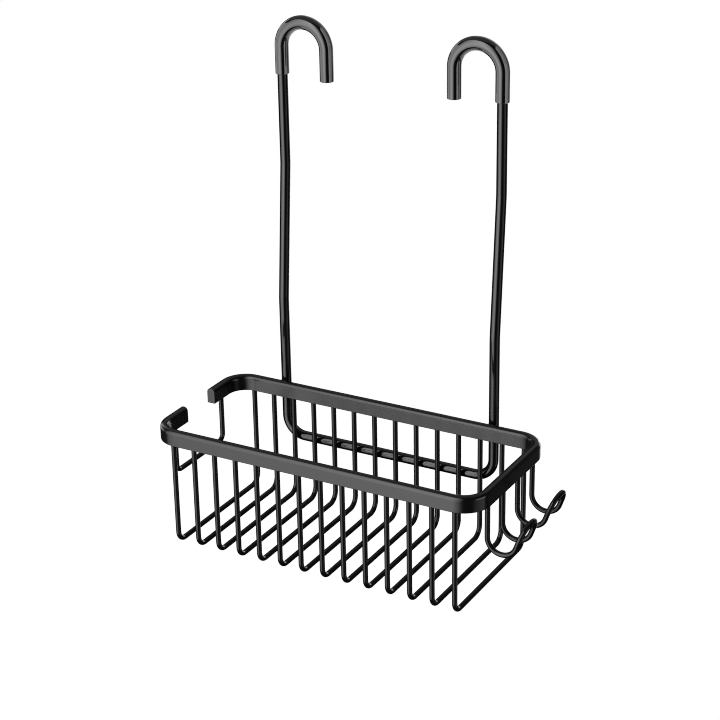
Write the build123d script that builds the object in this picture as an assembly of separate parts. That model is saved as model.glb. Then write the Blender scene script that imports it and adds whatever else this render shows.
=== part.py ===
from build123d import *
from math import cos, radians, sin
import os

# A wire shower caddy that hangs over the two supply pipes of a wall mixer.
# Millimetres. X runs along the wall, +Y points into the wall and +Z is up.
# The origin is midway between the axes of the two pipes that the hooks hang on.

# Stock, each size including the powder coat
COAT = 0.05
WIRE_D = 4.0 + 2 * COAT
ROD_D = 8.0 + 2 * COAT
BAR_HEIGHT = 12.9 + 2 * COAT
BAR_THICKNESS = 7.1 + 2 * COAT
BAR_TOP_ROUND = 3.4
BAR_BOTTOM_ROUND = 0.5
BAR_END_ROUND = 0.4         # of the two sawn ends

# Basket
BASKET_OFFSET_X = 1.4       # the basket's middle is welded a little to the right of the rod's
RIM_LENGTH = 280.0          # between the centre lines of the rim's two ends
BASKET_DEPTH = 120.5        # between the front and back legs' centre lines
RIM_CORNER_R = 18.5
END_GAP = 39.0              # between the rim's stubs at the open left end
WALL_HEIGHT = 85.65         # from the floor wires' centre line to the rim's underside
FLOOR_DROP = 377.05         # from the pipe axes down to the floor wires' centre line
WIRE_COUNT = 14
WIRE_PITCH = 19.0
FRONT_BEND_R = 8.5
BACK_BEND_R = 9.3

# Rail across the open left end
RAIL_HALF_WIDTH = 34.2
RAIL_DROP = 38.4            # below the rim's underside
RAIL_BEND_R = 6.0

# Double hooks under the right end
HOOK_LEG_PITCH = 26.3       # the four legs are evenly spaced
HOOK_LEG = 27.4             # straight leg above the bend
HOOK_BEND_R = 12.0
HOOK_SLOPE = 70.0           # of the rising part, in degrees above level
HOOK_RISE = 4.7             # straight part between the bend and the rounded tip

# Hanger rod and its sleeves
PIPE_SPACING = 150.0
SEAT_R = 20.0               # of the rod's centre line round each pipe
ROD_RUN_UP = 48.75          # the run across the back, above the floor wires
ROD_CORNER_R = 16.5
JOGGLE = 9.1                # the upper part stands this much nearer to the wall
JOGGLE_TOP = -95.3
JOGGLE_BOTTOM = -208.1
JOGGLE_BEND_R = 60.0
TIP_LENGTH = 23.6           # straight part of the rod after the hook
SLEEVE_WALL = 1.4
SLEEVE_END_ROUND = 0.45
SLEEVE_PAST_TIP = 0.6
SLEEVE_ON_UPRIGHT = 22.2

# Places that follow from the dimensions above
FLOOR_Z = -FLOOR_DROP
RIM_UNDER_Z = FLOOR_Z + WALL_HEIGHT
ROD_BACK_Y = 0.0
ROD_FRONT_Y = ROD_BACK_Y - JOGGLE
BASKET_BACK_Y = ROD_FRONT_Y - ROD_D / 2 - BAR_THICKNESS / 2
BASKET_Y = BASKET_BACK_Y - BASKET_DEPTH / 2
BASKET_FRONT_Y = BASKET_Y - BASKET_DEPTH / 2
LEFT_END_X = BASKET_OFFSET_X - RIM_LENGTH / 2
RIGHT_END_X = BASKET_OFFSET_X + RIM_LENGTH / 2
UPRIGHT_X = PIPE_SPACING / 2 + SEAT_R


def section_plane(path):
    """The plane square to a path at its start."""
    return Plane(origin=path @ 0, z_dir=path % 0)


def round_bar(path, diameter):
    """A round wire or rod along a path."""
    return sweep(section_plane(path) * Circle(diameter / 2), path)


def bar_section():
    """The rim bar's section: upright, with a rounded top and eased lower edges."""
    outline = Rectangle(BAR_THICKNESS, BAR_HEIGHT)
    corners = outline.vertices().sort_by(Axis.Y)
    outline = fillet(corners[2:], BAR_TOP_ROUND)
    corners = outline.vertices().sort_by(Axis.Y)
    return fillet(corners[:2], BAR_BOTTOM_ROUND)


def basket_rim():
    """A flat bar bent on edge round the basket's top, open at the left end."""
    level = RIM_UNDER_Z + BAR_HEIGHT / 2
    outline = [
        (LEFT_END_X, BASKET_Y - END_GAP / 2, level),
        (LEFT_END_X, BASKET_FRONT_Y, level),
        (RIGHT_END_X, BASKET_FRONT_Y, level),
        (RIGHT_END_X, BASKET_BACK_Y, level),
        (LEFT_END_X, BASKET_BACK_Y, level),
        (LEFT_END_X, BASKET_Y + END_GAP / 2, level),
    ]
    path = FilletPolyline(*outline, radius=RIM_CORNER_R)
    start = Plane(origin=path @ 0, x_dir=(1, 0, 0), z_dir=(0, -1, 0))
    bar = sweep(start * bar_section(), path)
    sawn = bar.faces().filter_by(Plane.XZ).sort_by(SortBy.AREA)[:2]
    return fillet([edge for face in sawn for edge in face.edges()], BAR_END_ROUND)


def basket_wire(x):
    """A U of wire that makes one line of the basket's front, floor and back."""
    corners = [
        (x, BASKET_FRONT_Y, RIM_UNDER_Z),
        (x, BASKET_FRONT_Y, FLOOR_Z),
        (x, BASKET_BACK_Y, FLOOR_Z),
        (x, BASKET_BACK_Y, RIM_UNDER_Z),
    ]
    return round_bar(FilletPolyline(*corners, radius=[FRONT_BEND_R, BACK_BEND_R]), WIRE_D)


def end_rail():
    """A shallow U of wire under the rim's two stubs."""
    front = BASKET_Y - RAIL_HALF_WIDTH
    back = BASKET_Y + RAIL_HALF_WIDTH
    low = RIM_UNDER_Z - RAIL_DROP
    corners = [
        (LEFT_END_X, front, RIM_UNDER_Z),
        (LEFT_END_X, front, low),
        (LEFT_END_X, back, low),
        (LEFT_END_X, back, RIM_UNDER_Z),
    ]
    return round_bar(FilletPolyline(*corners, radius=RAIL_BEND_R), WIRE_D)


def side_hook(y):
    """A wire bent double and curled up into a J, centred on y under the right end."""
    half = HOOK_LEG_PITCH / 2
    bend_z = RIM_UNDER_Z - HOOK_LEG
    bend_x = RIGHT_END_X + HOOK_BEND_R

    def on_bend(angle, side):
        """The point of a strand's bend at an angle from straight down."""
        turn = radians(angle)
        return Vector(bend_x + HOOK_BEND_R * sin(turn), y + side * half, bend_z - HOOK_BEND_R * cos(turn))

    rising = Vector(cos(radians(HOOK_SLOPE)), 0, sin(radians(HOOK_SLOPE)))

    def strand(side):
        """One leg, its bend and its rising part, from the rim to the rounded tip."""
        leg = Line((RIGHT_END_X, y + side * half, RIM_UNDER_Z), on_bend(-90, side))
        bend = ThreePointArc(on_bend(-90, side), on_bend(0, side), on_bend(HOOK_SLOPE, side))
        rise = Line(bend @ 1, (bend @ 1) + rising * HOOK_RISE)
        return [leg, bend, rise]

    front = strand(-1)
    back = strand(1)
    middle = ((front[-1] @ 1) + (back[-1] @ 1)) * 0.5
    tip = ThreePointArc(front[-1] @ 1, middle + rising * half, back[-1] @ 1)
    path = Wire([edge for piece in front + [tip] + back for edge in piece.edges()])
    start = Plane(origin=(RIGHT_END_X, y - half, RIM_UNDER_Z), z_dir=(0, 0, -1))
    return sweep(start * Circle(WIRE_D / 2), path)


def hook_arc(side):
    """The centre line of the rod round one pipe, from its tip side to its upright side."""
    seat_x = side * PIPE_SPACING / 2
    inner = (seat_x - side * SEAT_R, ROD_BACK_Y, 0)
    top = (seat_x, ROD_BACK_Y, SEAT_R)
    outer = (seat_x + side * SEAT_R, ROD_BACK_Y, 0)
    return ThreePointArc(inner, top, outer)


def down_from(point, length):
    """A straight piece of centre line straight down from a point."""
    return Line(point, point - Vector(0, 0, length))


def hanger_rod():
    """One rod: hook, joggled upright, run across the back, upright and hook."""
    run_z = FLOOR_Z + ROD_RUN_UP
    left, right = hook_arc(-1), hook_arc(1)
    frame = FilletPolyline(
        (-UPRIGHT_X, ROD_BACK_Y, 0),
        (-UPRIGHT_X, ROD_BACK_Y, JOGGLE_TOP),
        (-UPRIGHT_X, ROD_FRONT_Y, JOGGLE_BOTTOM),
        (-UPRIGHT_X, ROD_FRONT_Y, run_z),
        (UPRIGHT_X, ROD_FRONT_Y, run_z),
        (UPRIGHT_X, ROD_FRONT_Y, JOGGLE_BOTTOM),
        (UPRIGHT_X, ROD_BACK_Y, JOGGLE_TOP),
        (UPRIGHT_X, ROD_BACK_Y, 0),
        radius=[JOGGLE_BEND_R, JOGGLE_BEND_R, ROD_CORNER_R, ROD_CORNER_R, JOGGLE_BEND_R, JOGGLE_BEND_R],
    )
    tips = [down_from(left @ 0, TIP_LENGTH), down_from(right @ 0, TIP_LENGTH)]
    path = Wire([edge for piece in [tips[0], left, frame, right, tips[1]] for edge in piece.edges()])
    start = Plane(origin=tips[0] @ 1, z_dir=(0, 0, 1))
    return sweep(start * Circle(ROD_D / 2), path)


def hook_sleeve(side):
    """A tube pushed over one hook, from just past the rod's tip to the upright."""
    arc = hook_arc(side)
    tip = down_from(arc @ 0, TIP_LENGTH + SLEEVE_PAST_TIP)
    upright = down_from(arc @ 1, SLEEVE_ON_UPRIGHT)
    path = Wire([edge for piece in [tip, arc, upright] for edge in piece.edges()])
    start = Plane(origin=tip @ 1, z_dir=(0, 0, 1))
    outside = sweep(start * Circle(ROD_D / 2 + SLEEVE_WALL), path)
    below_bend = outside.edges().filter_by(lambda edge: edge.center().Z < -SLEEVE_ON_UPRIGHT / 2)
    outside = fillet([edge for edge in below_bend if edge.is_closed], SLEEVE_END_ROUND)
    return outside - sweep(start * Circle(ROD_D / 2), path)


pieces = {
    "basket_rim": basket_rim(),
    "end_rail": end_rail(),
    "side_hook_front": side_hook(BASKET_Y - HOOK_LEG_PITCH),
    "side_hook_rear": side_hook(BASKET_Y + HOOK_LEG_PITCH),
    "hanger_rod": hanger_rod(),
    "hook_sleeve_left": hook_sleeve(-1),
    "hook_sleeve_right": hook_sleeve(1),
}
for number in range(WIRE_COUNT):
    wire_x = BASKET_OFFSET_X + (number - (WIRE_COUNT - 1) / 2) * WIRE_PITCH
    pieces[f"basket_wire_{number + 1:02d}"] = basket_wire(wire_x)

os.makedirs("parts", exist_ok=True)
for name, piece in pieces.items():
    export_step(piece, f"parts/{name}.step")
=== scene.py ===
import bmesh
import bpy
from math import cos, pi, radians, sin, sqrt
from mathutils import Matrix, Vector


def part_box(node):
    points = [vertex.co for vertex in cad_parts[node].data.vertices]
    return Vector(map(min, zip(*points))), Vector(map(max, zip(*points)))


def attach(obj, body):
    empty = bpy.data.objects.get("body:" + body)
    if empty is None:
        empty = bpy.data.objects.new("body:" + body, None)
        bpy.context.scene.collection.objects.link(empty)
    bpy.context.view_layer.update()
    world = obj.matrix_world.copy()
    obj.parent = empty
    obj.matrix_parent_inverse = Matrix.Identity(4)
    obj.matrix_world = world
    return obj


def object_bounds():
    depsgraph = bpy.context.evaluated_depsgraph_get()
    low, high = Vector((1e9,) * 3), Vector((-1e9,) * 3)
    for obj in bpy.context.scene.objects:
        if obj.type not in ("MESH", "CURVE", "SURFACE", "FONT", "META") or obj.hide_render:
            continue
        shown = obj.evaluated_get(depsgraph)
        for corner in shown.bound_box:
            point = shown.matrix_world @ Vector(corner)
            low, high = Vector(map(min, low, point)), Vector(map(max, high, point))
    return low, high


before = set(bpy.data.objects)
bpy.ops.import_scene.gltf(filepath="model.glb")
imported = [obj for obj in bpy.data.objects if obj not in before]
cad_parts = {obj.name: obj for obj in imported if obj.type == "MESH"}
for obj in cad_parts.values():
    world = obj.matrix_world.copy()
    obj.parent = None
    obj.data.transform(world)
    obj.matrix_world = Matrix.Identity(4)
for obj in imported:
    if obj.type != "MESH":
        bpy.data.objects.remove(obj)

# A black wire shower caddy with glossy plastic sleeves on its two pipe hooks.
# Blender's metres, in the CAD frame: X along the wall, +Y into the wall, +Z up.

CAD_LOW, CAD_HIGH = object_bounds()
CENTRE = (CAD_LOW + CAD_HIGH) / 2
MM = 0.001

# Camera, as seen from the object
CAMERA_AZIMUTH = 29.474
CAMERA_ELEVATION = 23.141
CAMERA_ROLL = 1.032
CAMERA_DISTANCE = 1.5345
CAMERA_LENS = 100.86
SENSOR = 36.0
AIM_RIGHT = -0.00617
AIM_UP = -0.03883

# Studio
FLOOR_BELOW = 1.0           # under the object's lowest point, as it hangs at the height of a mixer
FLOOR_SIZE = 30.0
FLOOR_GREY = 0.02           # of what the floor reflects, beside its own glow
STUDIO_AMBIENT = 0.014
AREA_LIGHT_WATTS = 4.0      # per square metre of softbox and unit of its radiance


def direction(azimuth, elevation):
    """The unit vector from the object towards an azimuth and an elevation. Azimuth 0 is the front, -Y."""
    turn, rise = radians(azimuth), radians(elevation)
    return Vector((sin(turn) * cos(rise), -cos(turn) * cos(rise), sin(rise)))


# --- Camera and stage -------------------------------------------------------------------------

def facing(back, roll=0.0):
    """A rotation whose local Z is back, with local Y as near to up as it can be, then rolled."""
    right = Vector((0, 0, 1)).cross(back).normalized()
    up = back.cross(right)
    turn = radians(roll)
    rolled_right = right * cos(turn) - up * sin(turn)
    rolled_up = right * sin(turn) + up * cos(turn)
    return Matrix((rolled_right, rolled_up, back)).transposed().to_4x4()


def add_camera():
    """The camera, at the distance of a product shot with a long lens."""
    back = direction(CAMERA_AZIMUTH, CAMERA_ELEVATION)
    right = Vector((0, 0, 1)).cross(back).normalized()
    aim = CENTRE + right * AIM_RIGHT + back.cross(right) * AIM_UP
    data = bpy.data.cameras.new("camera")
    data.lens = CAMERA_LENS
    data.sensor_width = SENSOR
    camera = bpy.data.objects.new("camera", data)
    camera.matrix_world = Matrix.Translation(aim + back * CAMERA_DISTANCE) @ facing(back, CAMERA_ROLL)
    bpy.context.scene.collection.objects.link(camera)
    bpy.context.scene.camera = camera


def add_panel(name, azimuth, elevation, distance, width, height, radiance,
              left=1.0, right=1.0, low=1.0, across=1.0, fade=0.0, up=1.0, only=None):
    """A softbox that faces the object, with levels for its glow at its two sides and its foot.

    The glow rises from its left side over the part across of its width, and from its foot over the
    part up of its height. It falls to its right side from the part fade of its width. With only, it
    reaches just that group of objects.
    """
    data = bpy.data.lights.new(name, "AREA")
    data.shape = "RECTANGLE"
    data.size = width
    data.size_y = height
    data.energy = radiance * width * height * AREA_LIGHT_WATTS
    data.use_nodes = True
    nodes, links = data.node_tree.nodes, data.node_tree.links
    place = nodes.new("ShaderNodeNewGeometry")
    parts = nodes.new("ShaderNodeSeparateXYZ")
    links.new(place.outputs["Parametric"], parts.inputs["Vector"])
    ramps = (("X", 0.0, across, left, 1.0), ("X", fade, 1.0, 1.0, right), ("Y", 0.0, up, low, 1.0))
    glow = nodes["Emission"].inputs["Strength"]
    for axis, start, end, start_level, end_level in ramps:
        ramp = nodes.new("ShaderNodeMapRange")
        ramp.inputs["From Min"].default_value = start
        ramp.inputs["From Max"].default_value = end
        ramp.inputs["To Min"].default_value = start_level
        ramp.inputs["To Max"].default_value = end_level
        links.new(parts.outputs[axis], ramp.inputs["Value"])
        product = nodes.new("ShaderNodeMath")
        product.operation = "MULTIPLY"
        links.new(product.outputs["Value"], glow)
        links.new(ramp.outputs["Result"], product.inputs[0])
        product.inputs[1].default_value = 1.0
        glow = product.inputs[1]
    light = bpy.data.objects.new(name, data)
    light.visible_camera = False
    back = direction(azimuth, elevation)
    light.matrix_world = Matrix.Translation(CENTRE + back * distance) @ facing(back)
    bpy.context.scene.collection.objects.link(light)
    if only:
        light.light_linking.receiver_collection = only


def lit_group(name, objects):
    """A set of objects for lights that reach nothing else."""
    group = bpy.data.collections.new(name)
    for member in objects:
        group.objects.link(member)
    return group


def add_floor():
    """A pale floor that is bright to the eye and adds no light to the object."""
    z = CAD_LOW.z - FLOOR_BELOW
    half = FLOOR_SIZE / 2
    mesh = bpy.data.meshes.new("floor")
    corners = [(-half, -half, z), (half, -half, z), (half, half, z), (-half, half, z)]
    mesh.from_pydata(corners, [], [(0, 1, 2, 3)])
    floor = bpy.data.objects.new("floor", mesh)
    bpy.context.scene.collection.objects.link(floor)
    material = bpy.data.materials.new("floor")
    material.use_nodes = True
    shader = material.node_tree.nodes["Principled BSDF"]
    shader.inputs["Base Color"].default_value = (FLOOR_GREY, FLOOR_GREY, FLOOR_GREY, 1)
    shader.inputs["Roughness"].default_value = 1.0
    shader.inputs["Specular IOR Level"].default_value = 0.0
    shader.inputs["Emission Color"].default_value = (1, 1, 1, 1)
    shader.inputs["Emission Strength"].default_value = 1.0
    mesh.materials.append(material)
    floor.visible_glossy = False
    floor.visible_diffuse = False
    floor.visible_shadow = False


def add_world():
    """White where the camera looks past the floor, and a dim even glow for everything else."""
    world = bpy.data.worlds.new("studio")
    bpy.context.scene.world = world
    world.use_nodes = True
    tree = world.node_tree
    nodes, links = tree.nodes, tree.links
    background = nodes["Background"]
    background.inputs["Color"].default_value = (1, 1, 1, 1)
    path = nodes.new("ShaderNodeLightPath")
    level = nodes.new("ShaderNodeMapRange")
    level.inputs["To Min"].default_value = STUDIO_AMBIENT
    level.inputs["To Max"].default_value = 1.0
    links.new(path.outputs["Is Camera Ray"], level.inputs["Value"])
    links.new(level.outputs["Result"], background.inputs["Strength"])


# --- Materials --------------------------------------------------------------------------------

NOISE_LOW = 0.3             # noise at or below this gives the bottom of a range
NOISE_HIGH = 0.7            # and at or above this its top
TONE_PATCH = 30 * MM
TONE_DRIFT = 0.15           # either way, as a part of the colour
GLOSS_PATCH = 9 * MM
GLOSS_DRIFT = 0.1           # either way, as a part of the roughness


def coating(name, colour, roughness, specular, peel_size, peel_depth):
    """A sprayed finish: orange peel in the surface, and slight drifts of tone and gloss over it."""
    material = bpy.data.materials.new(name)
    material.use_nodes = True
    tree = material.node_tree
    nodes, links = tree.nodes, tree.links
    shader = nodes["Principled BSDF"]
    shader.inputs["Specular IOR Level"].default_value = specular
    place = nodes.new("ShaderNodeTexCoord").outputs["Object"]

    def noise(size, detail):
        """Noise with features of a size in metres."""
        texture = nodes.new("ShaderNodeTexNoise")
        texture.inputs["Scale"].default_value = 1 / size
        texture.inputs["Detail"].default_value = detail
        links.new(place, texture.inputs["Vector"])
        return texture.outputs["Fac"]

    def between(value, low, high):
        """A noise's value, stretched to run from low to high."""
        stretch = nodes.new("ShaderNodeMapRange")
        stretch.inputs["From Min"].default_value = NOISE_LOW
        stretch.inputs["From Max"].default_value = NOISE_HIGH
        stretch.inputs["To Min"].default_value = low
        stretch.inputs["To Max"].default_value = high
        links.new(value, stretch.inputs["Value"])
        return stretch.outputs["Result"]

    tone = nodes.new("ShaderNodeMix")
    tone.data_type = "RGBA"
    dark = [(1 - TONE_DRIFT) * level for level in colour]
    light = [(1 + TONE_DRIFT) * level for level in colour]
    tone.inputs["A"].default_value = (*dark, 1)
    tone.inputs["B"].default_value = (*light, 1)
    links.new(between(noise(TONE_PATCH, detail=3), 0, 1), tone.inputs["Factor"])
    links.new(tone.outputs["Result"], shader.inputs["Base Color"])
    glossiest = roughness * (1 - GLOSS_DRIFT)
    dullest = roughness * (1 + GLOSS_DRIFT)
    gloss = between(noise(GLOSS_PATCH, detail=4), glossiest, dullest)
    links.new(gloss, shader.inputs["Roughness"])

    bump = nodes.new("ShaderNodeBump")
    bump.inputs["Strength"].default_value = 1.0
    bump.inputs["Distance"].default_value = peel_depth
    links.new(noise(peel_size, detail=2), bump.inputs["Height"])
    links.new(bump.outputs["Normal"], shader.inputs["Normal"])
    return material


def dress(material, names):
    """Gives CAD nodes their finish."""
    for name in names:
        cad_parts[name].material_slots[0].material = material


def numbered(prefix):
    """The names of the CAD nodes that start with a prefix."""
    return sorted(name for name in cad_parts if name.startswith(prefix))


SATIN = coating("rim_satin_black", (0.003, 0.003, 0.003), roughness=0.20, specular=0.42,
                peel_size=1.5 * MM, peel_depth=0.003 * MM)
SEMI_GLOSS = coating("wire_semi_gloss_black", (0.0035, 0.0035, 0.0035), roughness=0.15, specular=0.31,
                     peel_size=1.6 * MM, peel_depth=0.0025 * MM)
GLOSS = coating("rod_gloss_black", (0.003, 0.003, 0.003), roughness=0.09, specular=0.5,
                peel_size=1.8 * MM, peel_depth=0.002 * MM)
SLEEVE_PLASTIC = coating("sleeve_gloss_plastic", (0.0015, 0.0015, 0.0014), roughness=0.10, specular=0.68,
                         peel_size=2.0 * MM, peel_depth=0.001 * MM)

dress(SATIN, ["basket_rim"])
dress(SEMI_GLOSS, numbered("basket_wire") + ["end_rail", "side_hook_front", "side_hook_rear"])
dress(GLOSS, ["hanger_rod"])
dress(SLEEVE_PLASTIC, numbered("hook_sleeve"))

# --- Welds ------------------------------------------------------------------------------------

WELD_LEG = 0.6 * MM         # how far a ring of weld reaches down its wire and out under the rim
WELD_ROOT = 0.25 * MM       # how far a ring reaches into the wire and into the rim
WELD_UNEVEN = 0.15          # the part of the leg by which it varies round a ring
RING_STEPS = 28
FILLET_STEPS = 6
BEAD_RADIUS = 1.1 * MM
BEAD_OUT = 2.9 * MM         # from the middle of the rod to the middle of a bead
BEAD_PROUD = 0.35 * MM      # from the rim's back face to the middle of a bead
BEAD_MARGIN = 1.2 * MM      # from a bead's ends to the rim's top and underside
BEAD_BLUNTNESS = 8          # the power that rounds its ends: 2 is an oval, more is blunter
RIPPLE_PITCH = 0.9 * MM
RIPPLE_DEPTH = 0.13         # as a part of the bead's radius
BEAD_STEPS = 80
BEAD_SIDES = 16
SHARP = 50                  # degrees between faces from which an edge stays sharp

wire_low, wire_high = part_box("basket_wire_01")
WIRE_RADIUS = (wire_high.x - wire_low.x) / 2
ROD_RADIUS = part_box("hanger_rod")[1].y      # the rod's upper part is centred on Y 0


def skin(build, sections, closed):
    """Joins closed sections, one after another, into a surface with no open edge."""
    rows = [[build.verts.new(point) for point in section] for section in sections]
    afters = rows[1:] + rows[:1] if closed else rows[1:]
    for row, after in zip(rows, afters):
        for here in range(len(row)):
            there = (here + 1) % len(row)
            build.faces.new((row[here], row[there], after[there], after[here]))
    if not closed:
        build.faces.new(rows[0])
        build.faces.new(rows[-1])


def weld_ring(build, x, y, level, wire_radius, phase):
    """A concave ring of weld round an upright wire, where it ends on the rim's underside."""
    sections = []
    for step in range(RING_STEPS):
        angle = 2 * pi * step / RING_STEPS
        leg = WELD_LEG * (1 + WELD_UNEVEN * sin(2 * angle + phase))
        profile = [(-WELD_ROOT, WELD_ROOT), (-WELD_ROOT, -leg)]
        for part in range(FILLET_STEPS + 1):
            turn = pi / 2 * part / FILLET_STEPS
            profile.append((leg * (1 - cos(turn)), leg * (sin(turn) - 1)))
        profile.append((leg, WELD_ROOT))
        section = []
        for out, up in profile:
            radius = wire_radius + out
            section.append((x + radius * cos(angle), y + radius * sin(angle), level + up))
        sections.append(section)
    skin(build, sections, closed=True)


def weld_bead(build, x, y, low, high):
    """A rippled upright bead of weld with rounded ends."""
    sections = []
    for step in range(BEAD_STEPS):
        part = (step + 0.5) / BEAD_STEPS
        z = low + (high - low) * part
        ripple = 1 - RIPPLE_DEPTH * (1 - abs(sin(pi * (z - low) / RIPPLE_PITCH)))
        radius = BEAD_RADIUS * ripple * sqrt(1 - (2 * part - 1) ** BEAD_BLUNTNESS)
        turns = [2 * pi * side / BEAD_SIDES for side in range(BEAD_SIDES)]
        sections.append([(x + radius * cos(turn), y + radius * sin(turn), z) for turn in turns])
    skin(build, sections, closed=False)


def add_welds(name, build, material):
    """Makes one piece of the welds that were built."""
    bmesh.ops.recalc_face_normals(build, faces=build.faces)
    mesh = bpy.data.meshes.new(name)
    build.to_mesh(mesh)
    build.free()
    mesh.shade_smooth()
    mesh.set_sharp_from_angle(angle=radians(SHARP))
    mesh.materials.append(material)
    piece = bpy.data.objects.new(name, mesh)
    bpy.context.scene.collection.objects.link(piece)
    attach(piece, "root")
    return piece


def ring_welds(name, nodes, x_of):
    """The rings at the two legs of each of some bent wires. x_of says where the legs are along X."""
    build = bmesh.new()
    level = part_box("basket_rim")[0].z
    for number, node in enumerate(nodes):
        box_low, box_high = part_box(node)
        x = x_of(box_low, box_high)
        for y in (box_low.y + WIRE_RADIUS, box_high.y - WIRE_RADIUS):
            weld_ring(build, x, y, level, WIRE_RADIUS, phase=number)
    return add_welds(name, build, SEMI_GLOSS)


def rod_welds(name):
    """The beads at both sides of the two uprights, on the rim's back face."""
    build = bmesh.new()
    rim_low, rim_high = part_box("basket_rim")
    rod_low, rod_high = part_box("hanger_rod")
    uprights = (rod_low.x + ROD_RADIUS, rod_high.x - ROD_RADIUS)
    for upright in uprights:
        for x in (upright - BEAD_OUT, upright + BEAD_OUT):
            weld_bead(build, x, rim_high.y + BEAD_PROUD, rim_low.z + BEAD_MARGIN, rim_high.z - BEAD_MARGIN)
    return add_welds(name, build, SATIN)


def middle(box_low, box_high):
    """Where the legs of a wire are that lies across X."""
    return (box_low.x + box_high.x) / 2


def wall_side(box_low, box_high):
    """Where the legs of a side hook are, at its end towards the basket."""
    return box_low.x + WIRE_RADIUS


basket_welds = [
    ring_welds("wire_welds", numbered("basket_wire"), middle),
    ring_welds("rail_welds", ["end_rail"], middle),
    ring_welds("side_hook_welds", ["side_hook_front", "side_hook_rear"], wall_side),
    rod_welds("rod_welds"),
]

# --- The studio -------------------------------------------------------------------------------

add_camera()

sleeves = lit_group("sleeves", [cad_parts[name] for name in numbered("hook_sleeve")])
basket_nodes = numbered("basket_") + ["end_rail"]
basket = lit_group("basket", [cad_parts[name] for name in basket_nodes] + basket_welds)

# Softboxes that light everything
add_panel("key", azimuth=-21.5, elevation=4, distance=1.4, width=2.8, height=3.6, radiance=4.0,
          left=0.2, right=0.0, low=0.35, across=0.56, fade=0.56, up=0.45)
add_panel("overhead", azimuth=-150, elevation=62, distance=1.2, width=2.4, height=2.2, radiance=0.25)
add_panel("right_strip", azimuth=87, elevation=-15, distance=1.4, width=1.05, height=1.8, radiance=0.6,
          left=0.25)
add_panel("rear_right", azimuth=160, elevation=2, distance=1.5, width=1.9, height=2.6, radiance=0.035)
add_panel("rear_strip", azimuth=180, elevation=-14, distance=1.5, width=0.24, height=1.3, radiance=1.5)
add_panel("corner_glint", azimuth=-112, elevation=20, distance=1.4, width=0.35, height=0.5, radiance=1.6)

# Fills that reach only the basket and its welds, so that its sides show in other views
add_panel("basket_rear", azimuth=182, elevation=-5, distance=1.5, width=1.1, height=0.62, radiance=1.6,
          only=basket)
add_panel("basket_left", azimuth=-98, elevation=-5, distance=1.4, width=0.9, height=0.6, radiance=1.4,
          only=basket)
add_panel("basket_right", azimuth=90, elevation=-5, distance=1.4, width=0.9, height=0.6, radiance=1.5,
          only=basket)

# Fills that reach only the sleeves, and make them lighter
add_panel("sleeve_left", azimuth=-82, elevation=-12, distance=1.4, width=1.1, height=2.2, radiance=1.6,
          only=sleeves)
add_panel("sleeve_right", azimuth=100, elevation=12, distance=1.4, width=1.9, height=3.4, radiance=2.4,
          right=0.3, only=sleeves)
add_panel("sleeve_rear", azimuth=178, elevation=10, distance=1.4, width=1.6, height=2.4, radiance=0.5,
          only=sleeves)
add_panel("sleeve_top", azimuth=-150, elevation=62, distance=1.2, width=2.4, height=2.2, radiance=0.6,
          only=sleeves)
add_panel("sleeve_bounce", azimuth=180, elevation=-68, distance=1.2, width=1.9, height=1.8, radiance=1.3,
          only=sleeves)

add_floor()
add_world()
bpy.context.scene.view_settings.view_transform = "Standard"
bpy.context.scene.cycles.filter_width = 1.0
